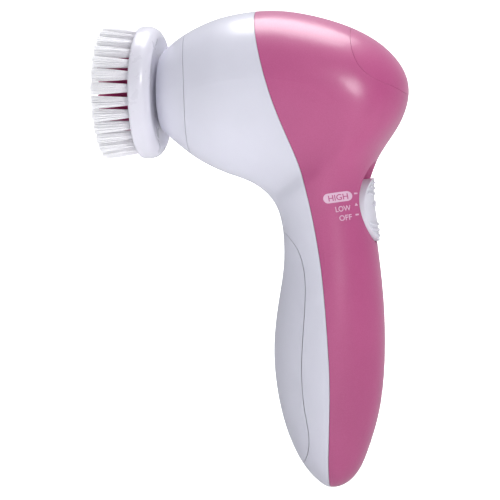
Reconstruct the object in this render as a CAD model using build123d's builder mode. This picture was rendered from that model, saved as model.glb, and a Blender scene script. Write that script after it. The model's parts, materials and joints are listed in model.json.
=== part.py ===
"""Battery facial cleansing brush: a pistol-shaped two-colour handle, a geared spindle and a round brush.

Millimetres, +Z up. The brush faces -X, the object is symmetric about the XZ plane, and the
origin is the middle of the handle's grip.
"""
from build123d import *
from math import atan2, cos, degrees, hypot, pi, radians, sin, sqrt, tan
import os

os.makedirs("parts", exist_ok=True)

# ---------------------------------------------------------------- driving dimensions
wall = 2.0               # shells
groove = 0.14            # gap between neighbouring shells
cover_gap = 0.18         # gap round the battery cover
lining_gap = 0.1         # inner pieces off the shells' inside
running = 0.03           # radial clearance of the spindle in its bush
loose = 0.06             # radial clearance of small moulded gears on their pins

spindle_z = 83.0         # height of the brush axis
nose_x = -55.2           # flat front of the head
brush_gap = 0.8          # brush base to nose
head_half_width = 24.9
grip_half_width = 19.5

base_radius = 21.7       # brush base disc
base_depth = 6.8
bristle_length = 11.8
base_round = 3.4         # rounded back edge of the disc
base_edge = 1.0          # its front edge
dish_margin = 4.6        # rim round the shallow dish in the disc's back
dish_depth = 1.4
hub_radius = 9.0         # flat hub inside the dish
tuft_margin = 3.1        # outer tufts in from the disc's rim
tuft_spacing = 4.17      # round the outer ring
tuft_lean = 1.1          # how far the outer tufts flare at the tips
tuft_root_radius = 1.40
tuft_tip_radius = 2.0
inner_ring_step = 3.6    # the inner tufts stand in evenly spaced rings round one in the middle
inner_ring_room = 4.0    # least space between the outer ring and the first inner ring
inner_tufts_per_ring = 5 # each ring has this many more than the one inside it

spindle_radius = 2.5
spindle_recess = 1.2     # end of the spindle behind the coupling's face
bush_wall = 1.7
bush_length = 8.0
coupling_shoulder = 5.0
seal_radius = 7.0        # lip seal round the coupling's shoulder
seal_fit = 0.1
hex_flats = 9.0          # drive coupling across its flats
hex_clearance = 0.06
hex_length = 5.6

module = 0.4
first_pinion, first_wheel = 10, 36
second_pinion, second_wheel = 10, 36
third_pinion, third_wheel = 12, 32
gear_face = 3.2
gear_step = 4.0          # spacing of the three gear planes
axle_radius = 0.75

gearbox_radius = 18.6
gearbox_setback = 12.2   # gearbox cover behind the nose
gearbox_plate = 2.0
gearbox_wall = 1.4
gearbox_boss = 7.4       # length of the spindle's boss on the cover
boss_wall = 1.4
box_screw_radius = 0.8
box_screw_head = 1.5
box_screw_bite = 6.0
box_boss_radius = 1.8
box_screw_turns = (30, 110, 320)

motor_radius = 10.0
motor_flats = 15.0
motor_length = 25.0
motor_cap_length = 2.4
motor_boss_radius = 3.0
motor_boss_length = 1.6
motor_shaft_radius = 1.0
terminal_length = 4.0
motor_screw_radius = 0.7
motor_screw_bite = 4.0
motor_screw_ring = 8.0
motor_screw_turn = 140   # clear of both gear axles

cell_radius = 7.25       # AA cell
cell_length = 49.5
cell_nub_radius = 2.75
cell_nub_height = 1.0
cell_spacing = 14.8
cell_x = -2.2
cell_bottom = -20.0
cell_clearance = 0.15
contact_room = 2.6       # space past each end of the cells
contact_sheet = 0.4

switch_z = 44.0          # where the slider line is anchored
switch_x = 14.2
switch_slope = -0.10     # X per Z along the back of the neck
switch_travel = 4.0
recess_depth = 3.6
recess_floor = 1.8
recess_end_gap = 1.2     # past the knob at each end of its travel
recess_side_gap = 0.7
recess_shift = 0.3       # the gap above the knob is larger than the one below
knob_half_length = 10.2
knob_half_width = 9.9
knob_float = 0.15        # knob above the recess floor
knob_crown = 0.9         # the knob's face stands proud of the shell
knob_rib = 0.3           # ribs above the knob's face
rib_depth = 3.2          # how deep the ribs root in the knob
rib_margin = 1.2
stem_width = 3.0
stem_length = 4.4
stem_tail = 0.2          # stem past the recess floor
switch_height = 5.6
switch_length = 19.0
switch_width = 6.6
actuator_height = 1.2
board_width = 12.0
board_length = 20.0
board_sheet = 1.2
resistor_length = 6.2
resistor_width = 2.4

cap_half_length = 14.2
cap_half_width = 19.7

tray_wall = 1.4
tray_depth = 11.4        # wall of the bay behind the cells' middle
tray_shelf = 5.5         # shelf under and over the cells, in front of their middle
shelf_reach = 4.0        # shelf past each cell's middle
tab_sheet = 1.6          # tab that holds the tray
tab_height = 10.0
contact_depth = 8.0
contact_width = 9.0
contact_fit = 0.2
spring_radius = 2.6
spring_wire = 0.3
coil_room = 0.32
boss_radius = 2.8        # tray bosses in the rear shell
screw_radius = 1.1
screw_head_radius = 2.1
screw_head = 1.4
screw_bite = 8.0
tray_screw_drop = 5.6    # below the bay
tray_screw_y = 6.0
tray_tab_x = 3.0

wire_radius = 0.6
wire_fit = 0.3

recess_half_length = knob_half_length + switch_travel / 2 + recess_end_gap
recess_half_width = knob_half_width + recess_side_gap
recess_rise = switch_travel / 2 + recess_shift
outer_tuft_ring = base_radius - tuft_margin
outer_tufts = round(2 * pi * outer_tuft_ring / tuft_spacing)
inner_rings = int((outer_tuft_ring - inner_ring_room) / inner_ring_step)
gearbox_front = nose_x + gearbox_setback

# ---------------------------------------------------------------- outline of the body
# The back runs over the head and down the handle, the belly runs under the head. Points of the
# head are measured up from the brush axis, points of the handle from the middle of the grip.


def on_head(*points):
    return [(x, spindle_z + rise) for x, rise in points]


back_points = on_head(
    (nose_x, 13.0), (-49.0, 18.0), (-40.0, 22.6), (-24.0, 26.0), (-6.0, 24.3), (10.0, 18.8),
    (21.3, 10.2), (25.7, 0.0), (22.8, -10.5), (16.6, -20.0),
) + [
    (13.5, 54.0), (13.9, 44.0), (15.3, 34.0), (17.5, 14.0), (17.9, -2.0), (16.3, -20.0),
    (12.4, -34.0), (7.0, -43.6), (1.6, -46.2),
]
belly_points = on_head(
    (nose_x, -13.0), (-50.0, -17.4), (-43.5, -22.2), (-34.0, -26.8), (-24.6, -30.6),
) + [
    (-17.8, 45.8), (-15.2, 37.0), (-15.0, 26.0), (-17.4, 9.0), (-18.1, -3.0), (-16.2, -19.0),
    (-11.6, -33.0), (-5.4, -42.4), (-0.8, -46.0),
]
# Where the white front shell meets the coloured rear shell, seen from the side.
seam_points = on_head((-24.5, 29.0), (-22.0, 19.0), (-18.4, 5.5), (-13.6, -9.5), (-7.5, -25.3)) + [
    (-3.3, 41.0), (-0.2, 23.0), (1.5, 6.0), (2.4, -10.0), (2.0, -27.0), (1.0, -41.0), (0.4, -49.0),
]
cover_points = [
    (-19.0, 39.4), (-12.6, 35.6), (-8.6, 31.0), (-6.2, 24.0), (-5.7, 14.0), (-6.5, 0.0),
    (-6.7, -11.0), (-5.6, -22.0), (-4.8, -30.0), (-6.0, -35.2), (-11.5, -40.6),
]

# Sections of the body: upright across the head, fanned round a point in the crook of the neck, and
# level down the handle. Widths are shares of the widest section of the head or of the grip.
crook_x, crook_z = -36.0, 36.0
# (x, share of the head's half width, share of the depth at the widest point)
head_sections = [
    (nose_x, 0.522, 0.50), (nose_x + 1.8, 0.610, 0.50), (-50.0, 0.715, 0.50), (-45.0, 0.819, 0.50),
    (-40.0, 0.896, 0.51),
]
# (turn of the plane in degrees, share of the head's half width, share of the depth)
fan_sections = [
    (90, 0.944, 0.53), (78, 0.984, 0.55), (66, 1.0, 0.58), (55, 0.992, 0.61), (46, 0.960, 0.62),
    (39, 0.912, 0.62), (32, 0.851, 0.60),
]
# (turn, share of the grip's half width, share of the depth)
neck_sections = [(25, 1.010, 0.56), (17, 0.949, 0.53), (8, 0.913, 0.51), (0, 0.908, 0.50)]
# (z, share of the grip's half width)
handle_sections = [
    (28.0, 0.913), (20.0, 0.944), (12.0, 0.974), (4.0, 1.0), (-4.0, 1.0), (-12.0, 0.985),
    (-20.0, 0.949), (-27.0, 0.882), (-33.0, 0.779), (-38.0, 0.651), (-42.0, 0.492), (-44.6, 0.323),
    (-45.9, 0.133),
]


def outline(points):
    with BuildLine(Plane.XZ) as curve:
        Spline(*points)
    return curve.line.edges()[0]


back_curve = outline(back_points)
belly_curve = outline(belly_points)


def crossing(curve, anchor, turn, inset, side):
    """Where a curve, moved inward by inset, crosses the section plane through anchor."""
    low, high = 0.0, 1.0
    for _ in range(32):
        middle = (low + high) / 2
        point = curve.position_at(middle)
        tangent = curve.tangent_at(middle)
        x = point.X + side * tangent.Z * inset
        z = point.Z - side * tangent.X * inset
        above = (z - anchor[1]) * cos(turn) - (x - anchor[0]) * sin(turn)
        if above > 0:
            low = middle
        else:
            high = middle
    return x, z


def body_form(inset):
    """The whole body as one solid, moved inward by inset all over."""
    head = head_sections
    handle = handle_sections
    if inset > 0:
        head = [(nose_x + inset, *head_sections[0][1:])] + head_sections[2:]
        handle = [(z, width) for z, width in handle_sections if z > handle_sections[-3][0] + inset]
    sections = [(x, spindle_z, 90, size * head_half_width, share) for x, size, share in head]
    for fan, half_width in ((fan_sections, head_half_width), (neck_sections, grip_half_width)):
        sections += [(crook_x, crook_z, turn, size * half_width, share) for turn, size, share in fan]
    sections += [(0, z, 0, size * grip_half_width, 0.5) for z, size in handle]
    with BuildPart() as form:
        for x, z, turn, width, share in sections:
            angle = radians(turn)
            top = crossing(back_curve, (x, z), angle, inset, 1)
            low = crossing(belly_curve, (x, z), angle, inset, -1)
            depth = hypot(top[0] - low[0], top[1] - low[1])
            across = ((top[0] - low[0]) / depth, (top[1] - low[1]) / depth)
            centre = (low[0] + across[0] * depth * share, 0, low[1] + across[1] * depth * share)
            plane = Plane(origin=centre, x_dir=(across[0], 0, across[1]), z_dir=(-across[1], 0, across[0]))
            with BuildSketch(plane):
                with BuildLine():
                    for quarter, reach in enumerate((1 - share, share, share, 1 - share)):
                        EllipticalCenterArc((0, 0), depth * reach, width - inset, 90 * quarter, arc_size=90)
                make_face()
        loft()
    return form.part


outer_form = body_form(0)
inner_form = body_form(wall)
knob_form = body_form(-knob_crown)
rib_form = body_form(-knob_crown - knob_rib)
lining_form = body_form(wall + lining_gap)


def side_region(points, corners, shift=0.0):
    """Everything on one side of a curve drawn in side view, through the whole width."""
    with BuildPart() as region:
        with BuildSketch(Plane.XZ):
            with BuildLine():
                moved = [(x + shift, z) for x, z in points]
                edge = Spline(*moved)
                Polyline(edge @ 1, *corners, edge @ 0)
            make_face()
        extrude(amount=60, both=True)
    return region.part


front_region = side_region(seam_points, [(-90, -60), (-90, 120)], -groove / 2)
rear_region = side_region(seam_points, [(60, -60), (60, 120)], groove / 2)
cover_region = side_region(cover_points, [(-60, -60), (-60, 60)])
cover_opening = side_region(cover_points, [(-60, -60), (-60, 60)], cover_gap)

# The nose ring's joint is a shallow arc in side view, set back at the sides of the head.
nose_joint = on_head((-47.6, 21.0), (-44.4, 0.0), (-46.0, -23.0))


def nose_region(shift):
    with BuildPart() as region:
        with BuildSketch(Plane.XZ):
            with BuildLine():
                moved = [(x + shift, z) for x, z in nose_joint]
                joint = ThreePointArc(*moved)
                Polyline(joint @ 1, (-80, (joint @ 1).Y), (-80, (joint @ 0).Y), joint @ 0)
            make_face()
        extrude(amount=60, both=True)
    return region.part


# ---------------------------------------------------------------- planes and axes
def spindle_plane(x):
    """Plane across the spindle at x, facing the front, with local x along +Y and local y along +Z."""
    return Plane(origin=(x, 0, spindle_z), x_dir=(0, -1, 0), z_dir=(-1, 0, 0))


slope = hypot(1, switch_slope)
slide_axis = (switch_slope / slope, 0, 1 / slope)
slide_normal = (1 / slope, 0, -switch_slope / slope)


def switch_plane(depth):
    """Plane along the back of the neck, depth below its surface, local y along the slide."""
    origin = (switch_x - slide_normal[0] * depth, 0, switch_z - slide_normal[2] * depth)
    return Plane(origin=origin, x_dir=(0, 1, 0), z_dir=slide_normal)


cap_middle = (17.0, 0, spindle_z + 9.4)
cap_normal = (0.729, 0, 0.685)
cap_plane = Plane(origin=cap_middle, x_dir=(0, 1, 0), z_dir=cap_normal)


def cap_cutter(inset):
    with BuildPart() as cutter:
        with BuildSketch(cap_plane.offset(-10)):
            Ellipse(cap_half_width - inset, cap_half_length - inset)
        extrude(amount=30)
    return cutter.part


# ---------------------------------------------------------------- layout of the gear train
wheel_1_distance = module * (first_pinion + first_wheel) / 2
wheel_2_distance = module * (second_pinion + second_wheel) / 2
wheel_3_distance = module * (third_pinion + third_wheel) / 2
wheel_1_angle = 200.0
# The third side of the triangle: motor axis, first axle, second axle.
bend = (wheel_1_distance ** 2 + wheel_3_distance ** 2 - wheel_2_distance ** 2)
bend = bend / (2 * wheel_1_distance * wheel_3_distance)
wheel_2_angle = wheel_1_angle + degrees(atan2(sqrt(1 - bend ** 2), bend))
axle_1 = (wheel_1_distance * cos(radians(wheel_1_angle)), wheel_1_distance * sin(radians(wheel_1_angle)))
axle_2 = (wheel_3_distance * cos(radians(wheel_2_angle)), wheel_3_distance * sin(radians(wheel_2_angle)))
line_12 = degrees(atan2(axle_2[1] - axle_1[1], axle_2[0] - axle_1[0]))
line_20 = wheel_2_angle + 180

gearbox_back = gearbox_front + gearbox_plate + 3 * gear_step + 0.8
stage_3 = gearbox_front + gearbox_plate + 0.4 + gear_face
stage_2 = stage_3 + gear_step
stage_1 = stage_2 + gear_step


def gear_sketch(teeth, turn):
    """Straight-flanked teeth, with one tooth centred on turn. Drawn in the current sketch."""
    radius = module * teeth / 2
    flank = ((radius - 1.25 * module, -1.0), (radius, -0.65), (radius + module, -0.26))
    outline_points = []
    for tooth in range(teeth):
        centre = radians(turn + 360 * tooth / teeth)
        for reach, half in flank + tuple((r, -h) for r, h in reversed(flank)):
            angle = centre + half * module / reach
            outline_points.append((reach * cos(angle), reach * sin(angle)))
    return Polygon(*outline_points, align=None)


# ---------------------------------------------------------------- shells
with BuildPart() as front_shell:
    add(outer_form)
    add(inner_form, mode=Mode.SUBTRACT)
    add(front_region, mode=Mode.INTERSECT)
    add(nose_region(groove / 2), mode=Mode.SUBTRACT)
    add(cover_opening, mode=Mode.SUBTRACT)

with BuildPart() as nose_ring:
    add(outer_form)
    add(inner_form, mode=Mode.SUBTRACT)
    add(nose_region(-groove / 2), mode=Mode.INTERSECT)
    with BuildSketch(spindle_plane(nose_x + wall + 1)):
        Circle(seal_radius)
    extrude(amount=10, mode=Mode.SUBTRACT)

with BuildPart() as battery_cover:
    add(outer_form)
    add(inner_form, mode=Mode.SUBTRACT)
    add(cover_region, mode=Mode.INTERSECT)

# The rear shell carries the switch recess, its thick floor and the two tray bosses.
tray_screw_z = cell_bottom - contact_room - tray_screw_drop
tray_screw_places = ((-tray_screw_y, tray_screw_z), (tray_screw_y, tray_screw_z))
with BuildPart() as rear_shell:
    add(outer_form)
    add(inner_form, mode=Mode.SUBTRACT)
    with BuildSketch(switch_plane(recess_depth + recess_floor)):
        with Locations((0, recess_rise)):
            Ellipse(recess_half_width + wall, recess_half_length + wall)
    extrude(amount=12)
    with BuildSketch(Plane.YZ.offset(tray_tab_x)):
        with Locations(*tray_screw_places):
            Circle(boss_radius)
    extrude(amount=20)
    add(outer_form, mode=Mode.INTERSECT)
    add(rear_region, mode=Mode.INTERSECT)
    add(cap_cutter(-groove / 2), mode=Mode.SUBTRACT)
    with BuildSketch(switch_plane(recess_depth)):
        with Locations((0, recess_rise)):
            Ellipse(recess_half_width, recess_half_length)
    extrude(amount=12, mode=Mode.SUBTRACT)
    with BuildSketch(switch_plane(recess_depth + recess_floor + 1)):
        with Locations((0, switch_travel / 2)):
            Rectangle(stem_width + 0.6, stem_length + switch_travel + 0.8)
    extrude(amount=6, mode=Mode.SUBTRACT)
    with BuildSketch(Plane.YZ.offset(tray_tab_x)):
        with Locations(*tray_screw_places):
            Circle(screw_radius)
    extrude(amount=screw_bite - tab_sheet + 0.6, mode=Mode.SUBTRACT)

with BuildPart() as rear_cap:
    add(outer_form)
    add(inner_form, mode=Mode.SUBTRACT)
    add(cap_cutter(groove / 2), mode=Mode.INTERSECT)

# ---------------------------------------------------------------- switch
with BuildPart() as plain_knob:
    with BuildSketch(switch_plane(recess_depth - knob_float)):
        Ellipse(knob_half_width, knob_half_length)
    extrude(amount=12)
    add(knob_form, mode=Mode.INTERSECT)
    with BuildSketch(switch_plane(recess_depth + recess_floor - stem_tail)):
        Rectangle(stem_width, stem_length)
    extrude(amount=recess_floor + stem_tail)

# Ribs across the knob, with a smooth stretch and a raised arrow in the middle.
rib_rows = (8.9, 7.1, 5.3, -4.6, -6.5, -8.4)
arrow_rise = 2.0
with BuildPart() as knob_ribs:
    with BuildSketch(switch_plane(rib_depth)):
        for row in rib_rows:
            with Locations((0, row)):
                Rectangle(2 * knob_half_width, 0.8)
        with Locations((0, arrow_rise)):
            Triangle(a=6.0, b=3.6, c=3.6, align=(Align.CENTER, Align.CENTER))
    extrude(amount=12)
    with BuildSketch(switch_plane(rib_depth)):
        Ellipse(knob_half_width - rib_margin, knob_half_length - rib_margin)
    extrude(amount=12, mode=Mode.INTERSECT)
    add(rib_form, mode=Mode.INTERSECT)
with BuildPart() as switch_knob:
    add(plain_knob.part)
    add(knob_ribs.part)

switch_top = recess_depth + recess_floor + 0.2
with BuildPart() as switch_housing:
    with BuildSketch(switch_plane(switch_top + switch_height)):
        with Locations((0, switch_travel / 2)):
            Rectangle(switch_width, switch_length)
    extrude(amount=switch_height)
    with BuildSketch(switch_plane(switch_top + actuator_height + 0.2)):
        with Locations((0, switch_travel / 2)):
            Rectangle(stem_width + 0.4, stem_length + switch_travel + 0.6)
    extrude(amount=2, mode=Mode.SUBTRACT)

with BuildPart() as switch_actuator:
    with BuildSketch(switch_plane(switch_top + actuator_height)):
        Rectangle(stem_width - 0.2, stem_length - 0.6)
    extrude(amount=actuator_height + 2 * stem_tail)

board_depth = switch_top + switch_height
board_rise = switch_travel / 2 + 1.5
with BuildPart() as switch_board:
    with BuildSketch(switch_plane(board_depth + board_sheet)):
        with Locations((0, board_rise)):
            Rectangle(board_width, board_length)
    extrude(amount=board_sheet)

with BuildPart() as speed_resistor:
    with BuildSketch(switch_plane(board_depth + board_sheet + resistor_width)):
        with Locations((0, board_rise - 7.0)):
            RectangleRounded(resistor_length, resistor_width, resistor_width / 4)
    extrude(amount=resistor_width)

# ---------------------------------------------------------------- battery bay
cell_top = cell_bottom + cell_length
nub_top = cell_top + cell_nub_height
bay_bottom = cell_bottom - contact_room
bay_top = nub_top + contact_room
cell_sides = {"left": 1, "right": -1}


def cell(side):
    """One AA cell: the left one stands nub up, the right one nub down."""
    with BuildPart() as battery:
        foot = cell_bottom if side > 0 else cell_bottom + cell_nub_height
        with BuildSketch(Plane.XY.offset(foot)):
            with Locations((cell_x, side * cell_spacing / 2)):
                Circle(cell_radius)
        extrude(amount=cell_length)
        fillet(battery.edges().filter_by(GeomType.CIRCLE), 0.5)
        start = cell_top if side > 0 else cell_bottom
        with BuildSketch(Plane.XY.offset(start)):
            with Locations((cell_x, side * cell_spacing / 2)):
                Circle(cell_nub_radius)
        extrude(amount=cell_nub_height)
    return battery


cells = {name: cell(side) for name, side in cell_sides.items()}

bay_width = cell_spacing + 2 * (cell_radius + tray_wall)
lead_x = cell_x - 2.5    # where the leads rise from the contacts
with BuildPart() as battery_tray:
    with BuildSketch(Plane.XY.offset(bay_bottom - tray_wall)):
        with Locations((cell_x, 0)):
            Rectangle(tray_depth, bay_width, align=(Align.MIN, Align.CENTER))
    extrude(amount=bay_top - bay_bottom + 2 * tray_wall)
    for shelf_z in (bay_bottom - tray_wall, bay_top):
        with BuildSketch(Plane.XY.offset(shelf_z)):
            with Locations((cell_x - tray_shelf, 0)):
                Rectangle(tray_shelf, cell_spacing + 2 * shelf_reach, align=(Align.MIN, Align.CENTER))
        extrude(amount=tray_wall)
    with BuildSketch(Plane.XY.offset(bay_bottom)):
        with Locations((cell_x, -cell_spacing / 2), (cell_x, cell_spacing / 2)):
            Circle(cell_radius + cell_clearance)
    extrude(amount=bay_top - bay_bottom, mode=Mode.SUBTRACT)
    for pocket_z in (bay_bottom, bay_top - contact_room):
        with BuildSketch(Plane.XY.offset(pocket_z)):
            with Locations((cell_x, 0)):
                Rectangle(contact_depth + 2 * contact_fit, cell_spacing + contact_width + 2 * contact_fit)
        extrude(amount=contact_room, mode=Mode.SUBTRACT)
    with BuildSketch(Plane.XY.offset(bay_top)):
        with Locations((lead_x, -cell_spacing / 2), (lead_x, cell_spacing / 2)):
            Circle(wire_radius + wire_fit)
    extrude(amount=tray_wall, mode=Mode.SUBTRACT)
    with BuildSketch(Plane.YZ.offset(tray_tab_x - tab_sheet)):
        with Locations((0, tray_screw_z)):
            Rectangle(2 * (tray_screw_y + boss_radius), tab_height)
    extrude(amount=tab_sheet)
    add(lining_form, mode=Mode.INTERSECT)
    with BuildSketch(Plane.YZ.offset(tray_tab_x - 2)):
        with Locations(*tray_screw_places):
            Circle(screw_radius + 0.2)
    extrude(amount=4, mode=Mode.SUBTRACT)

with BuildPart() as tray_screws:
    with BuildSketch(Plane.YZ.offset(tray_tab_x - tab_sheet)):
        with Locations(*tray_screw_places):
            Circle(screw_radius)
    extrude(amount=screw_bite)
    with BuildSketch(Plane.YZ.offset(tray_tab_x - tab_sheet - screw_head)):
        with Locations(*tray_screw_places):
            Circle(screw_head_radius)
    extrude(amount=screw_head)


def contact_plate(side, z):
    """A flat sheet contact, lying against the tray's end wall."""
    with BuildPart() as plate:
        with BuildSketch(Plane.XY.offset(z)):
            with Locations((cell_x, side * cell_spacing / 2)):
                Rectangle(contact_depth, contact_width)
        extrude(amount=contact_sheet)
        fillet(plate.edges().filter_by(Axis.Z), 1.0)
    return plate


def contact_spring(side, z, height):
    """A conical coil that presses on a cell's flat end."""
    with BuildPart() as spring:
        with BuildLine(Plane(origin=(cell_x, side * cell_spacing / 2, z))) as coil:
            Helix(pitch=height / 3, height=height, radius=spring_radius)
        with BuildSketch(Plane(origin=coil.line @ 0, z_dir=coil.line % 0)):
            Circle(spring_wire)
        sweep(is_frenet=True)
    return spring


# Top of the bay: plate on the left cell's nub, spring on the right cell's flat end.
# Bottom of the bay: one bridge joins both cells.
positive_contact = contact_plate(1, bay_top - contact_sheet)
negative_contact = contact_plate(-1, bay_top - contact_sheet)
with BuildPart() as bridge_contact:
    with BuildSketch(Plane.XY.offset(bay_bottom)):
        with Locations((cell_x, 0)):
            Rectangle(contact_depth, cell_spacing + contact_width)
    extrude(amount=contact_sheet)
    fillet(bridge_contact.edges().filter_by(Axis.Z), 1.0)

coil_height = contact_room - contact_sheet - 2 * coil_room
upper_spring = contact_spring(-1, nub_top + coil_room, coil_height)
lower_spring = contact_spring(1, bay_bottom + contact_sheet + coil_room, coil_height)

# ---------------------------------------------------------------- motor and gearbox
box_screw_ring = gearbox_radius - box_boss_radius
box_screw_places = [(box_screw_ring * cos(radians(turn)), box_screw_ring * sin(radians(turn)))
                    for turn in box_screw_turns]
bush_radius = spindle_radius + bush_wall
boss_outer = bush_radius + boss_wall
boss_front = gearbox_front - gearbox_boss
with BuildPart() as gearbox_cover:
    with BuildSketch(spindle_plane(gearbox_front + gearbox_plate)):
        Circle(gearbox_radius)
    extrude(amount=gearbox_plate)
    with BuildSketch(spindle_plane(gearbox_front)):
        Circle(boss_outer)
    extrude(amount=gearbox_front - boss_front)
    with BuildSketch(spindle_plane(gearbox_front + gearbox_plate)):
        Circle(bush_radius)
        with Locations(*box_screw_places):
            Circle(box_screw_radius)
    extrude(amount=20, mode=Mode.SUBTRACT)

with BuildPart() as gearbox_screws:
    with BuildSketch(spindle_plane(gearbox_front + gearbox_plate + box_screw_bite)):
        with Locations(*box_screw_places):
            Circle(box_screw_radius)
    extrude(amount=box_screw_bite + gearbox_plate)
    with BuildSketch(spindle_plane(gearbox_front)):
        with Locations(*box_screw_places):
            Circle(box_screw_head)
    extrude(amount=1.0)

with BuildPart() as spindle_bush:
    with BuildSketch(spindle_plane(boss_front + bush_length)):
        Circle(bush_radius)
        Circle(spindle_radius + running, mode=Mode.SUBTRACT)
    extrude(amount=bush_length)

motor_front = gearbox_back + gearbox_plate
axle_length = gearbox_back - gearbox_front - gearbox_plate
with BuildPart() as gearbox_housing:
    with BuildSketch(spindle_plane(motor_front)):
        Circle(gearbox_radius + 10)
    extrude(amount=gearbox_plate)
    add(lining_form, mode=Mode.INTERSECT)
    with BuildSketch(spindle_plane(gearbox_back)):
        Circle(gearbox_radius)
        Circle(gearbox_radius - gearbox_wall, mode=Mode.SUBTRACT)
        with Locations(*box_screw_places):
            Circle(box_boss_radius)
    extrude(amount=axle_length)
    with BuildSketch(spindle_plane(gearbox_front + gearbox_plate + box_screw_bite)):
        with Locations(*box_screw_places):
            Circle(box_screw_radius)
    extrude(amount=box_screw_bite, mode=Mode.SUBTRACT)
    with BuildSketch(spindle_plane(motor_front)):
        Circle(motor_boss_radius + 0.1)
        with PolarLocations(motor_screw_ring, 2, motor_screw_turn):
            Circle(motor_screw_radius + 0.2)
    extrude(amount=gearbox_plate, mode=Mode.SUBTRACT)

with BuildPart() as gear_axles:
    with BuildSketch(spindle_plane(gearbox_back)):
        with Locations(axle_1, axle_2):
            Circle(axle_radius)
    extrude(amount=axle_length)

can_back = motor_front + motor_length - motor_cap_length
shaft_seat = 10.0        # length of the shaft inside the can
with BuildPart() as motor_can:
    with BuildSketch(spindle_plane(can_back)):
        Circle(motor_radius)
        Rectangle(2 * motor_radius, motor_flats, mode=Mode.INTERSECT)
    extrude(amount=can_back - motor_front)
    with BuildSketch(spindle_plane(motor_front)):
        Circle(motor_boss_radius)
    extrude(amount=motor_boss_length)
    with BuildSketch(spindle_plane(motor_front + shaft_seat + 2)):
        Circle(motor_shaft_radius + 0.05)
    extrude(amount=20, mode=Mode.SUBTRACT)
    with BuildSketch(spindle_plane(motor_front + motor_screw_bite)):
        with PolarLocations(motor_screw_ring, 2, motor_screw_turn):
            Circle(motor_screw_radius)
    extrude(amount=motor_screw_bite + 1, mode=Mode.SUBTRACT)

with BuildPart() as motor_end_cap:
    with BuildSketch(spindle_plane(motor_front + motor_length)):
        Circle(motor_radius - 0.4)
        Rectangle(2 * motor_radius, motor_flats - 0.8, mode=Mode.INTERSECT)
    extrude(amount=motor_cap_length)
    with BuildSketch(spindle_plane(motor_front + motor_length + 1.4)):
        Circle(2.6)
    extrude(amount=1.4)

terminal_spread = 6.6
with BuildPart() as motor_terminals:
    with BuildSketch(Plane.YZ.offset(motor_front + motor_length)):
        with Locations((-terminal_spread, spindle_z), (terminal_spread, spindle_z)):
            Rectangle(0.5, 2.4)
    extrude(amount=terminal_length)

with BuildPart() as motor_screws:
    with BuildSketch(spindle_plane(motor_front + motor_screw_bite)):
        with PolarLocations(motor_screw_ring, 2, motor_screw_turn):
            Circle(motor_screw_radius)
    extrude(amount=motor_screw_bite + gearbox_plate)
    with BuildSketch(spindle_plane(gearbox_back)):
        with PolarLocations(motor_screw_ring, 2, motor_screw_turn):
            Circle(1.3)
    extrude(amount=0.3)

with BuildPart() as motor_shaft:
    with BuildSketch(spindle_plane(motor_front + shaft_seat)):
        Circle(motor_shaft_radius)
    extrude(amount=shaft_seat + gearbox_plate + gear_face + 0.4)
with BuildPart() as motor_pinion:
    with BuildSketch(spindle_plane(stage_1)):
        gear_sketch(first_pinion, wheel_1_angle)
        Circle(motor_shaft_radius, mode=Mode.SUBTRACT)
    extrude(amount=gear_face)


def compound_gear(axle, x_wheel, wheel, wheel_turn, pinion, pinion_turn):
    """A wheel with a smaller pinion on its front face, on one axle pin."""
    with BuildPart() as gear:
        with BuildSketch(spindle_plane(x_wheel)):
            gear_sketch(wheel, wheel_turn)
        extrude(amount=gear_face)
        with BuildSketch(spindle_plane(x_wheel)):
            gear_sketch(pinion, pinion_turn)
        extrude(amount=gear_face + gear_step)
        with BuildSketch(spindle_plane(x_wheel)):
            Circle(axle_radius + loose)
        extrude(amount=20, mode=Mode.SUBTRACT)
    local = Location((0, -axle[0], axle[1]))
    gear.part = gear.part.moved(local)
    return gear


first_gear = compound_gear(axle_1, stage_1, first_wheel, wheel_1_angle + 180 + 180 / first_wheel,
                           second_pinion, line_12)
second_gear = compound_gear(axle_2, stage_2, second_wheel, line_12 + 180 + 180 / second_wheel,
                            third_pinion, line_20)

coupling_front = nose_x - brush_gap - hex_length
with BuildPart() as spindle:
    with BuildSketch(spindle_plane(stage_3)):
        Circle(spindle_radius)
    extrude(amount=stage_3 - coupling_front - spindle_recess)
with BuildPart() as output_gear:
    with BuildSketch(spindle_plane(stage_3)):
        gear_sketch(third_wheel, line_20 + 180 + 180 / third_wheel)
        Circle(spindle_radius, mode=Mode.SUBTRACT)
    extrude(amount=gear_face)

base_back = nose_x - brush_gap
shoulder_back = boss_front - 0.3
with BuildPart() as drive_coupling:
    with BuildSketch(spindle_plane(shoulder_back)):
        Circle(coupling_shoulder)
    extrude(amount=shoulder_back - base_back)
    with BuildSketch(spindle_plane(base_back)):
        RegularPolygon(hex_flats / 2, 6, major_radius=False)
    extrude(amount=hex_length)
    with BuildSketch(spindle_plane(boss_front)):
        Circle(spindle_radius)
    extrude(amount=boss_front - coupling_front - spindle_recess, mode=Mode.SUBTRACT)

with BuildPart() as nose_seal:
    with BuildSketch(spindle_plane(nose_x + wall)):
        Circle(seal_radius)
        Circle(coupling_shoulder + seal_fit, mode=Mode.SUBTRACT)
    extrude(amount=wall - 0.2)

# ---------------------------------------------------------------- brush head
base_front = base_back - base_depth
with BuildPart() as brush_base:
    with BuildSketch(spindle_plane(base_back)):
        Circle(base_radius)
    extrude(amount=base_depth)
    fillet(brush_base.faces().sort_by(Axis.X)[-1].edges(), base_round)
    fillet(brush_base.faces().sort_by(Axis.X)[0].edges(), base_edge)
    with BuildSketch(spindle_plane(base_back)):
        Circle(base_radius - dish_margin)
        Circle(hub_radius, mode=Mode.SUBTRACT)
    extrude(amount=dish_depth, mode=Mode.SUBTRACT)
    with BuildSketch(spindle_plane(base_back)):
        RegularPolygon(hex_flats / 2 + hex_clearance, 6, major_radius=False)
    extrude(amount=hex_length + 0.2, mode=Mode.SUBTRACT)

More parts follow.
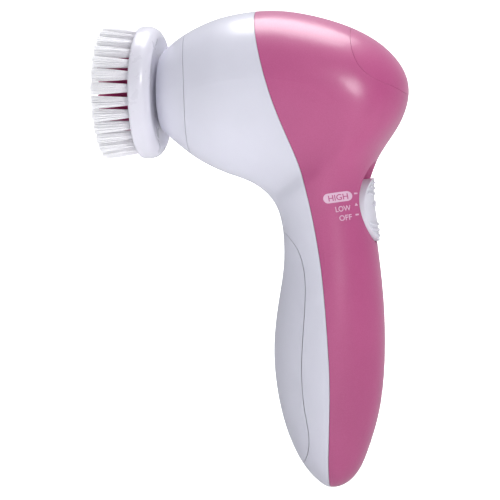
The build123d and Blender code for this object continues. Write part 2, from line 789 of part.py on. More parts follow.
tip_x = base_front - bristle_length
with BuildPart() as outer_bristles:
    for tuft in range(outer_tufts):
        angle = 2 * pi * tuft / outer_tufts
        root = (base_front, outer_tuft_ring * cos(angle), spindle_z + outer_tuft_ring * sin(angle))
        reach = outer_tuft_ring + tuft_lean
        tip = (tip_x, reach * cos(angle), spindle_z + reach * sin(angle))
        with BuildSketch(Plane(origin=root, z_dir=(-1, 0, 0))):
            Circle(tuft_root_radius)
        with BuildSketch(Plane(origin=tip, z_dir=(-1, 0, 0))):
            Circle(tuft_tip_radius)
        loft()

with BuildPart() as inner_bristles:
    for ring in range(inner_rings + 1):
        with BuildSketch(spindle_plane(base_front)):
            with PolarLocations(ring * inner_ring_step, max(1, ring * inner_tufts_per_ring)):
                Circle(tuft_root_radius)
        extrude(amount=bristle_length)

# ---------------------------------------------------------------- wires inside the handle
def wire(points):
    """A lead with its bends as round as its runs allow."""
    turns = []
    for before, corner, after in zip(points, points[1:], points[2:]):
        run_in = Vector(*corner) - Vector(*before)
        run_out = Vector(*after) - Vector(*corner)
        half_turn = radians(run_in.get_angle(run_out)) / 2
        turns.append(0.45 * min(run_in.length, run_out.length) / tan(half_turn))
    with BuildPart() as lead:
        with BuildLine() as route:
            FilletPolyline(*points, radius=turns)
        with BuildSketch(Plane(origin=route.line @ 0, z_dir=route.line % 0)):
            Circle(wire_radius)
        sweep()
    print("wire bends", [round(turn, 1) for turn in turns])
    return lead


board_face = switch_plane(board_depth + board_sheet)


def on_board(across, along, out=0.0):
    """A point on the board's inner face, or out from it."""
    return tuple(board_face.from_local_coords((across, along, -out)))


cell_y = cell_spacing / 2
motor_tail = motor_front + motor_length + terminal_length
red_wire = wire([
    (lead_x, cell_y, bay_top), (lead_x, cell_y, bay_top + 5.9),
    on_board(4.0, board_rise - 0.5, 7.3), on_board(4.0, board_rise - 0.5),
])
black_wire = wire([
    (lead_x, -cell_y, bay_top), (lead_x, -cell_y, bay_top + 6.5), (lead_x + 2.0, -8.6, 51.5),
    (3.0, -8.0, 64.0), (10.0, -7.8, 71.5), (13.8, -7.0, 78.0), (10.0, -terminal_spread, spindle_z),
    (motor_tail, -terminal_spread, spindle_z),
])
blue_wire = wire([
    on_board(4.0, board_rise + 7.5), on_board(4.0, board_rise + 7.5, 6.4), (-7.4, 4.6, 58.0),
    (-4.8, 5.4, 65.0), (10.0, 7.6, 72.0), (13.8, 7.0, 78.0), (10.0, terminal_spread, spindle_z),
    (motor_tail, terminal_spread, spindle_z),
])

parts = {
    "front_shell": front_shell, "rear_shell": rear_shell, "nose_ring": nose_ring,
    "rear_cap": rear_cap, "battery_cover": battery_cover,
    "red_wire": red_wire, "black_wire": black_wire, "blue_wire": blue_wire,
    "gearbox_screws": gearbox_screws, "switch_knob": switch_knob, "switch_housing": switch_housing,
    "switch_actuator": switch_actuator, "switch_board": switch_board,
    "speed_resistor": speed_resistor, "battery_tray": battery_tray, "tray_screws": tray_screws,
    "positive_contact": positive_contact, "negative_contact": negative_contact,
    "bridge_contact": bridge_contact, "upper_spring": upper_spring, "lower_spring": lower_spring,
    "left_battery": cells["left"], "right_battery": cells["right"],
    "gearbox_cover": gearbox_cover, "gearbox_housing": gearbox_housing,
    "spindle_bush": spindle_bush, "gear_axles": gear_axles, "motor_can": motor_can,
    "motor_end_cap": motor_end_cap, "motor_terminals": motor_terminals,
    "motor_screws": motor_screws, "motor_shaft": motor_shaft, "motor_pinion": motor_pinion,
    "first_gear": first_gear, "second_gear": second_gear, "spindle": spindle,
    "output_gear": output_gear, "drive_coupling": drive_coupling, "nose_seal": nose_seal,
    "brush_base": brush_base, "outer_bristles": outer_bristles, "inner_bristles": inner_bristles,
}
for name, piece in parts.items():
    piece.part.label = name
    export_step(piece.part, f"parts/{name}.step")
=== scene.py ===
"""Looks of the facial cleansing brush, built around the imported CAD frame.

Metres, +Z up, brush facing -X.
"""
import json
import math
import random

import bmesh
import bpy
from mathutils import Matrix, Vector
from mathutils.bvhtree import BVHTree


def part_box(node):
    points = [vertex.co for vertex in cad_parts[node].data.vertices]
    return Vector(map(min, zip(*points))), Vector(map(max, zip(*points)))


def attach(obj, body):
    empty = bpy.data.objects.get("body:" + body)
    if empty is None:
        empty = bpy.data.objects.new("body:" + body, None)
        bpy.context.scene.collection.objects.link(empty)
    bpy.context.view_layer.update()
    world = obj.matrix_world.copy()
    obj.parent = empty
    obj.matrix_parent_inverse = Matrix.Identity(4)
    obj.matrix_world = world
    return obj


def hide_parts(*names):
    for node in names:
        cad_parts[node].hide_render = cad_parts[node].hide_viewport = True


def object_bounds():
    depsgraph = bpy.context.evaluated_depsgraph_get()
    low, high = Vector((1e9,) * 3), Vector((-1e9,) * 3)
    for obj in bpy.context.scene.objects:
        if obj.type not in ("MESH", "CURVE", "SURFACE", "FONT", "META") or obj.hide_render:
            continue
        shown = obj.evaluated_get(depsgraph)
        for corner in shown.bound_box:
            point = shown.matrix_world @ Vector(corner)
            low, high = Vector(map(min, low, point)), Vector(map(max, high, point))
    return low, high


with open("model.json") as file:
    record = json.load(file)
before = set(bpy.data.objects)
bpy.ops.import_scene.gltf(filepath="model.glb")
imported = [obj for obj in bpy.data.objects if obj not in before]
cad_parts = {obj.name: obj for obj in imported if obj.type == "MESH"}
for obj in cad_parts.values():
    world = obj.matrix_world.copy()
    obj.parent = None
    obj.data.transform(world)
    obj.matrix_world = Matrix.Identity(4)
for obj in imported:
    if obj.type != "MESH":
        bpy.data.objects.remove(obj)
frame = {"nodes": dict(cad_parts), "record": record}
cad_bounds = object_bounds()
nodes = frame["nodes"]
MM = 0.001
random.seed(11)

# ---------------------------------------------------------------- camera
VIEW_TURN = math.radians(10)      # the view comes from slightly behind the object's side
VIEW_DISTANCE = 0.650
VIEW_SIDE = -0.02605              # the picture's middle, measured along the view's right from the grip
VIEW_HEIGHT = 0.0309
LENS = 143.7
SENSOR_WIDTH = 36


def make_camera():
    right = Vector((math.cos(VIEW_TURN), math.sin(VIEW_TURN), 0))
    back = Vector((math.sin(VIEW_TURN), -math.cos(VIEW_TURN), 0))
    target = right * VIEW_SIDE + Vector((0, 0, VIEW_HEIGHT))
    data = bpy.data.cameras.new("view")
    data.lens = LENS
    data.sensor_width = SENSOR_WIDTH
    camera = bpy.data.objects.new("view", data)
    camera.location = target + back * VIEW_DISTANCE
    camera.rotation_euler = (math.radians(90), 0, VIEW_TURN)
    bpy.context.scene.collection.objects.link(camera)
    bpy.context.scene.camera = camera


# ---------------------------------------------------------------- light and floor
LIT_POINT = (-0.015, 0, 0.05)     # both lamps aim at the neck
TENT_STRENGTH = 0.38


def soft_box(name, place, width, height, watts):
    data = bpy.data.lights.new(name, "AREA")
    data.shape = "RECTANGLE"
    data.size = width
    data.size_y = height
    data.energy = watts
    lamp = bpy.data.objects.new(name, data)
    lamp.location = place
    lamp.rotation_euler = (Vector(LIT_POINT) - Vector(place)).to_track_quat("-Z", "Y").to_euler()
    bpy.context.scene.collection.objects.link(lamp)


def tent():
    """A white tent that is dimmer towards the object's front and back, +X and -X."""
    world = bpy.data.worlds.new("studio")
    world.use_nodes = True
    tree = world.node_tree
    sky = tree.nodes["Background"]
    direction = add_node(tree, "ShaderNodeSeparateXYZ")
    facing = add_node(tree, "ShaderNodeTexCoord").outputs["Generated"]
    tree.links.new(facing, direction.inputs["Vector"])
    sideways = add_node(tree, "ShaderNodeMath", operation="ABSOLUTE")
    tree.links.new(direction.outputs["X"], sideways.inputs[0])
    cloth = ramp(tree, sideways.outputs["Value"], (0.96, 0.97, 1.0), (0.22, 0.22, 0.26), 0.25, 0.95)
    tree.links.new(cloth, sky.inputs["Color"])
    sky.inputs["Strength"].default_value = TENT_STRENGTH
    return world


def make_lights():
    """The tent, a broad lamp overhead and a smaller one at the front right."""
    soft_box("top_light", (-0.01, 0.16, 0.84), 0.56, 0.50, 6.4)
    soft_box("front_light", (0.38, -0.60, 0.34), 0.20, 0.20, 1.7)
    bpy.context.scene.world = tent()
    bpy.context.scene.view_settings.view_transform = "Standard"


FLOOR_GAP = 0.012                 # the object hangs just clear of the floor
FLOOR_FRONT = -1.6
FLOOR_BACK = 0.9                  # the sweep starts to rise here
FLOOR_HALF_WIDTH = 3.0
SWEEP_RADIUS = 0.6
SWEEP_STEPS = 12
WALL_HEIGHT = 3.0


def make_floor():
    """A pale sweep: flat under the object and curved up behind it."""
    low = cad_bounds[0][2] - FLOOR_GAP
    profile = [(FLOOR_FRONT, low), (FLOOR_BACK, low)]
    for step in range(1, SWEEP_STEPS + 1):
        angle = math.pi / 2 * step / SWEEP_STEPS
        profile.append((FLOOR_BACK + SWEEP_RADIUS * math.sin(angle),
                        low + SWEEP_RADIUS * (1 - math.cos(angle))))
    profile.append((FLOOR_BACK + SWEEP_RADIUS, low + WALL_HEIGHT))
    mesh = bmesh.new()
    rows = [[mesh.verts.new((x, y, z)) for y, z in profile]
            for x in (-FLOOR_HALF_WIDTH, FLOOR_HALF_WIDTH)]
    for near, far, near_next, far_next in zip(rows[0], rows[1], rows[0][1:], rows[1][1:]):
        mesh.faces.new((near, far, far_next, near_next)).smooth = True
    floor = finished("studio_floor", mesh, floor_material())
    floor.visible_glossy = False      # the gloss shows the lamps and the tent, not the bright sweep


# ---------------------------------------------------------------- materials
def new_material(name):
    material = bpy.data.materials.new(name)
    material.use_nodes = True
    tree = material.node_tree
    return material, tree, tree.nodes["Principled BSDF"]


def add_node(tree, kind, **settings):
    node = tree.nodes.new(kind)
    for key, value in settings.items():
        if key in node.inputs:
            node.inputs[key].default_value = value
        else:
            setattr(node, key, value)
    return node


def place_of(tree):
    return add_node(tree, "ShaderNodeTexCoord").outputs["Object"]


def noise(tree, scale, detail=3.0, roughness=0.5):
    texture = add_node(tree, "ShaderNodeTexNoise", Scale=scale, Detail=detail, Roughness=roughness)
    tree.links.new(place_of(tree), texture.inputs["Vector"])
    return texture.outputs["Fac"]


def ramp(tree, value, low, high, start, end):
    """Blend from low to high as value goes from start to end."""
    steps = tree.nodes.new("ShaderNodeValToRGB")
    steps.color_ramp.elements[0].position = start
    steps.color_ramp.elements[1].position = end
    steps.color_ramp.elements[0].color = (*low, 1)
    steps.color_ramp.elements[1].color = (*high, 1)
    tree.links.new(value, steps.inputs["Fac"])
    return steps.outputs["Color"]


def bump(tree, height, shader, strength, distance):
    node = add_node(tree, "ShaderNodeBump", Strength=strength, Distance=distance)
    tree.links.new(height, node.inputs["Height"])
    tree.links.new(node.outputs["Normal"], shader.inputs["Normal"])


def vary_roughness(tree, shader, value, low, high):
    spread = add_node(tree, "ShaderNodeMapRange")
    spread.inputs["To Min"].default_value = low
    spread.inputs["To Max"].default_value = high
    tree.links.new(value, spread.inputs["Value"])
    tree.links.new(spread.outputs["Result"], shader.inputs["Roughness"])


def shade(colour, factor):
    return tuple(min(1.0, channel * factor) for channel in colour)


BUMP_DEPTH = 0.02 * MM            # how deep grain and scratches are
SOAK_RADIUS = 1.2 * MM            # how far light soaks into plastic
PLASTIC_COAT_ROUGHNESS = 0.12
PEARL_SHARE = 0.35                # how much of the pink comes from the flakes


def moulded(name, colour, rough=0.35, grain=2500.0, spread=0.05, coat=0.0, glow=0.0):
    """Injection-moulded plastic: fine grain, faint colour drift and slightly uneven gloss."""
    material, tree, shader = new_material(name)
    drift = noise(tree, 60.0, 4.0)
    tint = ramp(tree, drift, shade(colour, 1 - spread), shade(colour, 1 + spread), 0.3, 0.7)
    tree.links.new(tint, shader.inputs["Base Color"])
    fine = noise(tree, grain, 2.0, 0.6)
    vary_roughness(tree, shader, noise(tree, 180.0, 5.0), rough - 0.05, rough + 0.07)
    bump(tree, fine, shader, 0.12, BUMP_DEPTH)
    shader.inputs["Coat Weight"].default_value = coat
    shader.inputs["Coat Roughness"].default_value = PLASTIC_COAT_ROUGHNESS
    shader.inputs["Subsurface Weight"].default_value = glow
    shader.inputs["Subsurface Radius"].default_value = (SOAK_RADIUS, 0.75 * SOAK_RADIUS, SOAK_RADIUS)
    shader.inputs["Subsurface Scale"].default_value = 1.0
    return material


def pearl_paint(name):
    """Pink pearl lacquer: fine flakes under a satin coat, with a pale sheen."""
    material, tree, shader = new_material(name)
    flakes = add_node(tree, "ShaderNodeTexVoronoi", Scale=4200.0)
    tree.links.new(place_of(tree), flakes.inputs["Vector"])
    flake, lacquer = (0.58, 0.15, 0.34), (0.45, 0.080, 0.225)
    deep, pale = (0.45, 0.076, 0.220), (0.49, 0.090, 0.243)
    sparkle = ramp(tree, flakes.outputs["Distance"], flake, lacquer, 0.05, 0.5)
    cloud = ramp(tree, noise(tree, 45.0, 3.0), deep, pale, 0.3, 0.7)
    blend = add_node(tree, "ShaderNodeMix", data_type="RGBA")
    blend.inputs["Factor"].default_value = PEARL_SHARE
    tree.links.new(cloud, blend.inputs["A"])
    tree.links.new(sparkle, blend.inputs["B"])
    tree.links.new(blend.outputs["Result"], shader.inputs["Base Color"])
    vary_roughness(tree, shader, flakes.outputs["Distance"], 0.36, 0.46)
    bump(tree, noise(tree, 1500.0, 2.0), shader, 0.20, BUMP_DEPTH)
    shader.inputs["Coat Weight"].default_value = 0.55
    shader.inputs["Coat Roughness"].default_value = 0.24
    shader.inputs["Sheen Weight"].default_value = 0.22
    shader.inputs["Sheen Roughness"].default_value = 0.35
    shader.inputs["Sheen Tint"].default_value = (1.0, 0.74, 0.86, 1)
    return material


def metal(name, colour, rough, brush=900.0):
    material, tree, shader = new_material(name)
    tint = ramp(tree, noise(tree, 400.0, 4.0), shade(colour, 0.85), shade(colour, 1.08), 0.3, 0.7)
    tree.links.new(tint, shader.inputs["Base Color"])
    shader.inputs["Metallic"].default_value = 1.0
    scratches = noise(tree, brush, 6.0, 0.7)
    vary_roughness(tree, shader, scratches, rough - 0.08, rough + 0.12)
    bump(tree, scratches, shader, 0.15, BUMP_DEPTH)
    return material


def filament(name, root, tip, root_x, tip_x, glow):
    """Nylon filament: colour changes from root to tip, darker at the root as painted shade among the
    tufts; strands differ, light soaks through, and a faint painted glow stands in for light scattered
    through the nylon.
    """
    material, tree, shader = new_material(name)
    place = add_node(tree, "ShaderNodeSeparateXYZ")
    tree.links.new(place_of(tree), place.inputs["Vector"])
    along = add_node(tree, "ShaderNodeMapRange")
    along.inputs["From Min"].default_value = root_x
    along.inputs["From Max"].default_value = tip_x
    tree.links.new(place.outputs["X"], along.inputs["Value"])
    # painted shade: the colour darkens towards the root, where shade falls deep among the tufts
    tint = ramp(tree, along.outputs["Result"], root, tip, 0.0, 0.8)
    strand = ramp(tree, noise(tree, 2600.0, 2.0), (0.90, 0.90, 0.92), (1, 1, 1), 0.35, 0.65)
    mixed = add_node(tree, "ShaderNodeMix", data_type="RGBA", blend_type="MULTIPLY")
    mixed.inputs["Factor"].default_value = 1.0
    tree.links.new(tint, mixed.inputs["A"])
    tree.links.new(strand, mixed.inputs["B"])
    tree.links.new(mixed.outputs["Result"], shader.inputs["Base Color"])
    shader.inputs["Roughness"].default_value = 0.38
    shader.inputs["Subsurface Weight"].default_value = 0.3
    shader.inputs["Subsurface Radius"].default_value = (SOAK_RADIUS, SOAK_RADIUS, SOAK_RADIUS)
    shader.inputs["Subsurface Scale"].default_value = 1.0
    # painted glow: the filament glows faintly in its tip colour, standing in for light scattered
    # through the nylon
    shader.inputs["Emission Color"].default_value = (*tip, 1)
    shader.inputs["Emission Strength"].default_value = glow
    return material


def battery_sleeve():
    """A plain two-colour sleeve: dark body, copper-toned band at the top, bare metal ends."""
    material, tree, shader = new_material("battery_sleeve")
    low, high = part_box("left_battery")
    place = add_node(tree, "ShaderNodeSeparateXYZ")
    tree.links.new(place_of(tree), place.inputs["Vector"])
    along = add_node(tree, "ShaderNodeMapRange")
    along.inputs["From Min"].default_value = low[2]
    along.inputs["From Max"].default_value = high[2]
    tree.links.new(place.outputs["Z"], along.inputs["Value"])
    bands = tree.nodes.new("ShaderNodeValToRGB")
    bands.color_ramp.interpolation = "CONSTANT"
    bare, dark, copper = (0.55, 0.56, 0.58), (0.05, 0.06, 0.08), (0.45, 0.24, 0.10)
    stops = ((0.0, bare), (0.035, dark), (0.70, copper), (0.955, bare))
    for position, _ in stops[2:]:
        bands.color_ramp.elements.new(position)
    for element, (position, colour) in zip(bands.color_ramp.elements, stops):
        element.position = position
        element.color = (*colour, 1)
    tree.links.new(along.outputs["Result"], bands.inputs["Fac"])
    tree.links.new(bands.outputs["Color"], shader.inputs["Base Color"])
    shader.inputs["Metallic"].default_value = 0.5
    vary_roughness(tree, shader, noise(tree, 300.0, 4.0), 0.25, 0.38)
    return material


def floor_material():
    """A pale floor that is lit more the further it is from the object, so the ground looks even."""
    material, tree, shader = new_material("pale_floor")
    tint = ramp(tree, noise(tree, 3.0, 3.0), (0.90, 0.90, 0.90), (0.93, 0.93, 0.93), 0.3, 0.7)
    tree.links.new(tint, shader.inputs["Base Color"])
    shader.inputs["Roughness"].default_value = 0.7
    shader.inputs["Emission Color"].default_value = (1, 1, 1, 1)
    distance = add_node(tree, "ShaderNodeVectorMath", operation="LENGTH")
    tree.links.new(place_of(tree), distance.inputs[0])
    glow = add_node(tree, "ShaderNodeMapRange")
    levels = (("From Min", 0.12), ("From Max", 0.60), ("To Min", 0.14), ("To Max", 0.85))
    for socket, value in levels:
        glow.inputs[socket].default_value = value
    tree.links.new(distance.outputs["Value"], glow.inputs["Value"])
    tree.links.new(glow.outputs["Result"], shader.inputs["Emission Strength"])
    return material


def make_materials():
    """One material for each material slot of the record."""
    glossy = {"grain": 4000.0, "spread": 0.02, "coat": 0.3, "glow": 0.05}
    return {
        "white_shell": moulded("white_shell", (0.66, 0.66, 0.75), 0.30, **glossy),
        "pink_shell": pearl_paint("pink_shell"),
        "white_part": moulded("white_part", (0.70, 0.69, 0.77), 0.28, **glossy),
        "gear_plastic": moulded("gear_plastic", (0.72, 0.70, 0.62), 0.45),
        "steel": metal("steel", (0.60, 0.61, 0.63), 0.30),
        "bush_brass": metal("bush_brass", (0.66, 0.46, 0.22), 0.42, 1400.0),
        "contact_metal": metal("contact_metal", (0.74, 0.74, 0.72), 0.22),
        "battery_sleeve": battery_sleeve(),
        "dark_plastic": moulded("dark_plastic", (0.035, 0.035, 0.04), 0.45, spread=0.2),
        "board": moulded("board", (0.36, 0.22, 0.09), 0.55, grain=900.0, spread=0.15),
        "resistor_body": moulded("resistor_body", (0.55, 0.44, 0.28), 0.40, spread=0.1),
        "seal_rubber": moulded("seal_rubber", (0.55, 0.55, 0.60), 0.60, grain=1200.0),
        "red_lead": moulded("red_lead", (0.50, 0.02, 0.02), 0.40, spread=0.1),
        "black_lead": moulded("black_lead", (0.02, 0.02, 0.02), 0.40, spread=0.2),
        "blue_lead": moulded("blue_lead", (0.02, 0.06, 0.35), 0.40, spread=0.1),
    }


# ---------------------------------------------------------------- mesh helpers
def finished(name, mesh, material):
    data = bpy.data.meshes.new(name)
    mesh.normal_update()
    mesh.to_mesh(data)
    mesh.free()
    data.materials.append(material)
    piece = bpy.data.objects.new(name, data)
    bpy.context.scene.collection.objects.link(piece)
    return piece


# ---------------------------------------------------------------- bristles
FILAMENT_SIDES = 5
FILAMENT_RADIUS = 0.13 * MM
FILAMENT_LEVELS = ((0.0, 1.0), (0.35, 1.0), (0.70, 1.0), (0.97, 0.95), (1.0, 0.55))
STRAY = 0.20 * MM                 # how far a strand may wander from its place in the tuft
LENGTH_SPREAD = 0.25 * MM


def add_filament(mesh, root, tip, bow):
    """One filament from root to tip, bowed a little, with a narrowed end."""
    axis = (tip - root).normalized()
    side = axis.orthogonal().normalized()
    other = axis.cross(side)
    rings = []
    for share, thickness in FILAMENT_LEVELS:
        middle = root.lerp(tip, share) + bow * math.sin(math.pi * share)
        ring = []
        for corner in range(FILAMENT_SIDES):
            angle = 2 * math.pi * corner / FILAMENT_SIDES
            offset = side * math.cos(angle) + other * math.sin(angle)
            ring.append(mesh.verts.new(middle + offset * FILAMENT_RADIUS * thickness))
        rings.append(ring)
    for low, high in zip(rings, rings[1:]):
        for corner in range(FILAMENT_SIDES):
            after = (corner + 1) % FILAMENT_SIDES
            wall = mesh.faces.new((low[corner], low[after], high[after], high[corner]))
            wall.smooth = True
    mesh.faces.new(rings[-1])
    mesh.faces.new(list(reversed(rings[0])))


def add_tuft(mesh, root, tip, root_radius, tip_radius, count):
    """A round tuft of filaments that spread a little towards the tips."""
    golden = math.pi * (3 - math.sqrt(5))
    for strand in range(count):
        reach = math.sqrt((strand + 0.5) / count)
        angle = strand * golden
        turn = Vector((0, math.cos(angle), math.sin(angle))) * reach
        loose = Vector((0, random.uniform(-1, 1), random.uniform(-1, 1))) * STRAY
        end = tip + turn * (tip_radius - FILAMENT_RADIUS) + loose * 0.5
        end.x += random.uniform(0.0, LENGTH_SPREAD)
        add_filament(mesh, root + turn * (root_radius - FILAMENT_RADIUS), end, loose)


ROOT_SINK = 0.3 * MM              # the tufts start just inside the base
TIP_REACH = 0.5 * MM              # loose ends stand a little past the pegs that they replace
OUTER_TUFTS = 28
OUTER_RING = 18.6 * MM
OUTER_TIP_RING = 19.7 * MM
INNER_STEP = 3.6 * MM
INNER_RINGS = 4
INNER_TUFTS_PER_RING = 5
INNER_SPLAY = 1.01                # inner tips stand this much further from the axis than their roots


def make_bristles():
    low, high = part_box("outer_bristles")
    tip_x, root_x = low[0] - TIP_REACH, high[0] + ROOT_SINK
    axis_z = (low[2] + high[2]) / 2
    # The darker root colours are painted shade among the tufts; 0.07 and 0.03 are the painted glow of
    # the filaments.
    white = filament("white_bristle", (0.88, 0.86, 0.91), (0.95, 0.95, 0.97), root_x, tip_x, 0.07)
    pink = filament("pink_bristle", (0.42, 0.02, 0.13), (0.66, 0.08, 0.28), root_x, tip_x, 0.03)
    mesh = bmesh.new()
    for tuft in range(OUTER_TUFTS):
        angle = 2 * math.pi * tuft / OUTER_TUFTS
        out = Vector((0, math.cos(angle), math.sin(angle)))
        root = Vector((root_x, 0, axis_z)) + out * OUTER_RING
        tip = Vector((tip_x, 0, axis_z)) + out * OUTER_TIP_RING
        add_tuft(mesh, root, tip, 1.40 * MM, 2.30 * MM, 84)
    outer = finished("outer_filaments", mesh, white)
    mesh = bmesh.new()
    for ring in range(INNER_RINGS + 1):
        count = max(1, ring * INNER_TUFTS_PER_RING)
        for tuft in range(count):
            angle = 2 * math.pi * tuft / count
            out = Vector((0, math.cos(angle), math.sin(angle))) * ring * INNER_STEP
            root = Vector((root_x, 0, axis_z)) + out
            tip = Vector((tip_x, 0, axis_z)) + out * INNER_SPLAY
            add_tuft(mesh, root, tip, 1.35 * MM, 1.40 * MM, 30)
    inner = finished("inner_filaments", mesh, pink)
    for piece, node, slot in ((outer, "outer_bristles", "white_bristle"),
                              (inner, "inner_bristles", "pink_bristle")):
        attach(piece, "brush_head")
        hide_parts(node)


# ---------------------------------------------------------------- brush disc
DISC_SEGMENTS = 96
HEX_APOTHEM = 4.56 * MM
HUB_RADIUS = 7.5 * MM
SOCKET_DEPTH = 5.8 * MM
FRONT_ROUND = 1.0 * MM
BACK_ROUND = 3.8 * MM
DISH_DEPTH = 1.1 * MM
DISH_MARGIN = 1.0 * MM            # flat ring between the hub and the dish
DISH_STEPS, BACK_STEPS, FRONT_STEPS = 8, 10, 5


def disc_profile(radius, depth):
    """(distance in front of the disc's back, radius) from the hub round the rim to the front."""
    points = [(0.0, HUB_RADIUS)]
    inner, outer = HUB_RADIUS + DISH_MARGIN, radius - BACK_ROUND
    for step in range(1, DISH_STEPS + 1):
        share = step / DISH_STEPS
        hollow = DISH_DEPTH * math.sin(math.pi * share) ** 0.8 if step < DISH_STEPS else 0.0
        points.append((hollow, inner + (outer - inner) * share))
    for step in range(1, BACK_STEPS + 1):
        angle = math.pi / 2 * step / BACK_STEPS
        points.append((BACK_ROUND * (1 - math.cos(angle)), radius - BACK_ROUND * (1 - math.sin(angle))))
    for step in range(FRONT_STEPS + 1):
        angle = math.pi / 2 * step / FRONT_STEPS
        points.append((depth - FRONT_ROUND * (1 - math.sin(angle)),
                       radius - FRONT_ROUND * (1 - math.cos(angle))))
    points.append((depth, radius * 0.5))
    return points


def make_disc(materials):
    """The brush base as one turned form, with a dished back and its hexagonal socket."""
    low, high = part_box("brush_base")
    back, depth, radius = high[0], high[0] - low[0], (high[1] - low[1]) / 2
    axis_z = (low[2] + high[2]) / 2
    mesh = bmesh.new()
    rings = []
    for forward, reach in [(SOCKET_DEPTH, None), (0.0, None)] + disc_profile(radius, depth):
        ring = []
        for segment in range(DISC_SEGMENTS):
            angle = 2 * math.pi * segment / DISC_SEGMENTS
            corner = (angle + math.pi / 6) % (math.pi / 3) - math.pi / 6
            out = HEX_APOTHEM / math.cos(corner) if reach is None else reach
            y, z = out * math.sin(angle), axis_z + out * math.cos(angle)
            ring.append(mesh.verts.new((back - forward, y, z)))
        rings.append(ring)
    for near, far in zip(rings, rings[1:]):
        for segment in range(DISC_SEGMENTS):
            after = (segment + 1) % DISC_SEGMENTS
            wall = mesh.faces.new((near[segment], near[after], far[after], far[segment]))
            wall.smooth = True
    mesh.faces.new(rings[0])
    mesh.faces.new(list(reversed(rings[-1])))
    bmesh.ops.recalc_face_normals(mesh, faces=mesh.faces)
    disc = finished("brush_disc", mesh, materials["white_part"])
    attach(disc, "brush_head")
    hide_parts("brush_base")


# ---------------------------------------------------------------- printed marks
PRINT_TILT = math.radians(9)      # the words follow the side of the neck
PRINT_LIFT = 0.02 * MM            # thickness of one layer of ink
RAY_START = 0.1                   # rays start this far out, clear of the object


def surface_of(name):
    """A CAD node's faces, to cast rays at."""
    mesh = nodes[name].data
    corners = [vertex.co.copy() for vertex in mesh.vertices]
    faces = [list(face.vertices) for face in mesh.polygons]
    return BVHTree.FromPolygons(corners, faces)


def printed(name, mesh, x, z, surface, layers, material):
    """Lay a flat drawing, in metres about its middle, on the near side at x and z in millimetres."""
    cos, sin = math.cos(PRINT_TILT), math.sin(PRINT_TILT)
    for vertex in mesh.verts:
        across = x * MM + vertex.co.x * cos - vertex.co.y * sin
        up = z * MM + vertex.co.x * sin + vertex.co.y * cos
        place, normal = surface.ray_cast(Vector((across, -RAY_START, up)), Vector((0, 1, 0)))[:2]
        vertex.co = place - Vector((0, layers * PRINT_LIFT, 0)) * (1 if normal.y < 0 else -1)
    piece = finished(name, mesh, material)
    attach(piece, "handle")


def drawn_word(word, height, width):
    """A word's letters as fine flat faces, centred, height and width in millimetres."""
    curve = bpy.data.curves.new(word, "FONT")
    curve.body = word
    curve.align_x = "CENTER"
    curve.align_y = "CENTER"
    curve.resolution_u = 4
    curve.offset = 0.012              # a slightly bolder letter
    letters = bpy.data.objects.new(word, curve)
    flat = bpy.data.meshes.new_from_object(letters)
    bpy.data.objects.remove(letters)
    mesh = bmesh.new()
    mesh.from_mesh(flat)
    low = [min(vertex.co[axis] for vertex in mesh.verts) for axis in (0, 1)]
    high = [max(vertex.co[axis] for vertex in mesh.verts) for axis in (0, 1)]
    for vertex in mesh.verts:
        vertex.co.x = (vertex.co.x - (low[0] + high[0]) / 2) * width * MM / (high[0] - low[0])
        vertex.co.y = (vertex.co.y - (low[1] + high[1]) / 2) * height * MM / (high[1] - low[1])
    bmesh.ops.triangulate(mesh, faces=mesh.faces)
    for _ in range(2):
        bmesh.ops.subdivide_edges(mesh, edges=mesh.edges[:], cuts=1, use_grid_fill=True)
    return mesh


def drawn_pill(length, height):
    """A rounded bar as a grid of small faces, so that it follows a curved surface. Millimetres."""
    columns, rows = 36, 10
    length, radius = length * MM, height * MM / 2
    mesh = bmesh.new()
    grid = []
    for column in range(columns + 1):
        share = -math.cos(math.pi * column / columns)
        x = share * length / 2
        past = max(0.0, abs(x) - (length / 2 - radius))
        reach = math.sqrt(max(radius * radius - past * past, 0.0))
        grid.append([mesh.verts.new((x, reach * (2 * row / rows - 1), 0)) for row in range(rows + 1)])
    for left, right in zip(grid, grid[1:]):
        for row in range(rows):
            mesh.faces.new((left[row], right[row], right[row + 1], left[row + 1]))
    bmesh.ops.remove_doubles(mesh, verts=mesh.verts, dist=0.001 * MM)
    return mesh


def drawn_shape(corners):
    """A small flat shape from its corners in millimetres."""
    mesh = bmesh.new()
    mesh.faces.new([mesh.verts.new((x * MM, y * MM, 0)) for x, y in corners])
    bmesh.ops.triangulate(mesh, faces=mesh.faces)
    bmesh.ops.subdivide_edges(mesh, edges=mesh.edges[:], cuts=2, use_grid_fill=True)
    return mesh


def make_marks(materials):
    """The three generic switch positions, printed beside the switch."""
    surface = surface_of("rear_shell")
    ink = moulded("pale_ink", (0.68, 0.45, 0.59), 0.45, grain=4000.0)
    pink = materials["pink_shell"]
    printed("high_bar", drawn_pill(8.7, 3.1), 4.65, 47.6, surface, 1, ink)
    printed("high_word", drawn_word("HIGH", 1.9, 5.9), 4.85, 47.6, surface, 2, pink)
    printed("low_word", drawn_word("LOW", 1.75, 4.5), 6.3, 44.05, surface, 1, ink)
    printed("off_word", drawn_word("OFF", 1.75, 3.7), 7.05, 41.2, surface, 1, ink)
    dash = ((-0.45, -0.25), (0.45, -0.25), (0.45, 0.25), (-0.45, 0.25))
    arrow = ((-0.45, -0.45), (0.45, -0.45), (0.0, 0.45))
    for name, corners, x, z in (("high_dash", dash, 9.9, 48.95), ("low_arrow", arrow, 10.05, 45.5),
                                ("off_dash", dash, 10.35, 42.2)):
        printed(name, drawn_shape(corners), x, z, surface, 1, ink)


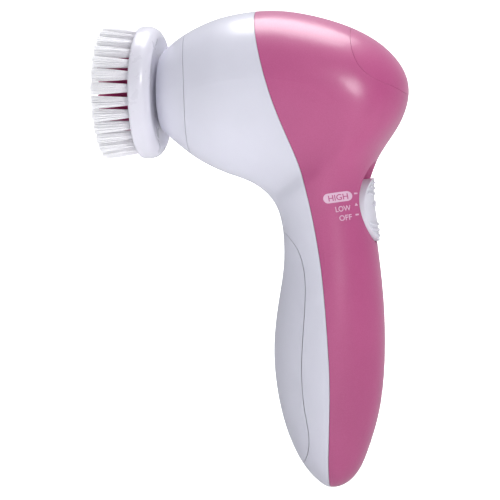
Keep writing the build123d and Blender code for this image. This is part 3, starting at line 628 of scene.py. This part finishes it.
# ---------------------------------------------------------------- ribs on the switch
RIB_ROWS = (8.9, 7.1, 5.3, -4.6, -6.5, -8.4)
RIB_HEIGHT = 0.32 * MM
RIB_WIDTH = 0.75 * MM
RIB_SINK = 0.04 * MM              # the ridges' edges lie just inside the knob
RIB_REACH = 0.86                  # share of the knob's half width
ARROW_REACH = 0.55
ARROW_TOP, ARROW_DROP = 2.6, 1.8
PATH_STEPS = 10                   # points from the middle of a ridge to its end
RIDGE_STEPS = 6                   # faces round a ridge's section


def add_ridge(mesh, surface, path):
    """A low rounded ridge along a path of (y, z) points on the knob's face, fading at both ends."""
    sections = []
    for index, (y, z) in enumerate(path):
        share = math.sin(math.pi * (index + 0.2) / (len(path) - 0.6)) ** 0.4
        section = []
        for step in range(RIDGE_STEPS + 1):
            angle = math.pi * step / RIDGE_STEPS
            across = z - RIB_WIDTH / 2 * math.cos(angle)
            place = surface.ray_cast(Vector((RAY_START, y, across)), Vector((-1, 0, 0)))[0]
            lift = RIB_HEIGHT * math.sin(angle) * share - RIB_SINK
            section.append(mesh.verts.new((place.x + lift, y, across)))
        sections.append(section)
    for near, far in zip(sections, sections[1:]):
        for step in range(RIDGE_STEPS):
            wall = mesh.faces.new((near[step], far[step], far[step + 1], near[step + 1]))
            wall.smooth = True


def make_knob_ribs(materials):
    """Grip ridges over the knob, and a curved arrow between the two groups."""
    surface = surface_of("switch_knob")
    low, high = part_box("switch_knob")
    centre = (low[2] + high[2]) / 2
    half_width, half_height = (high[1] - low[1]) / 2, (high[2] - low[2]) / 2
    path = [step / PATH_STEPS - 1 for step in range(2 * PATH_STEPS + 1)]
    mesh = bmesh.new()
    for row in RIB_ROWS:
        height = (abs(row) * MM + RIB_WIDTH) / half_height
        reach = RIB_REACH * half_width * math.sqrt(1 - height ** 2)
        add_ridge(mesh, surface, [(reach * side, centre + row * MM) for side in path])
    arrow = [(ARROW_REACH * half_width * side, centre + (ARROW_TOP - ARROW_DROP * side ** 2) * MM)
             for side in path]
    add_ridge(mesh, surface, arrow)
    bmesh.ops.recalc_face_normals(mesh, faces=mesh.faces)
    ribs = finished("knob_ribs", mesh, materials["white_part"])
    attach(ribs, "switch_slider")


# ---------------------------------------------------------------- the frame's own nodes
def dress_nodes(materials):
    """Give each CAD node the material of its slot."""
    for part in frame["record"]["subparts"]:
        material = materials.get(part["material_slot"])
        if material:
            piece = nodes[part["node"]]
            piece.data.materials.clear()
            piece.data.materials.append(material)


make_camera()
make_lights()
materials = make_materials()
dress_nodes(materials)
make_floor()
make_disc(materials)
make_bristles()
make_knob_ribs(materials)
make_marks(materials)
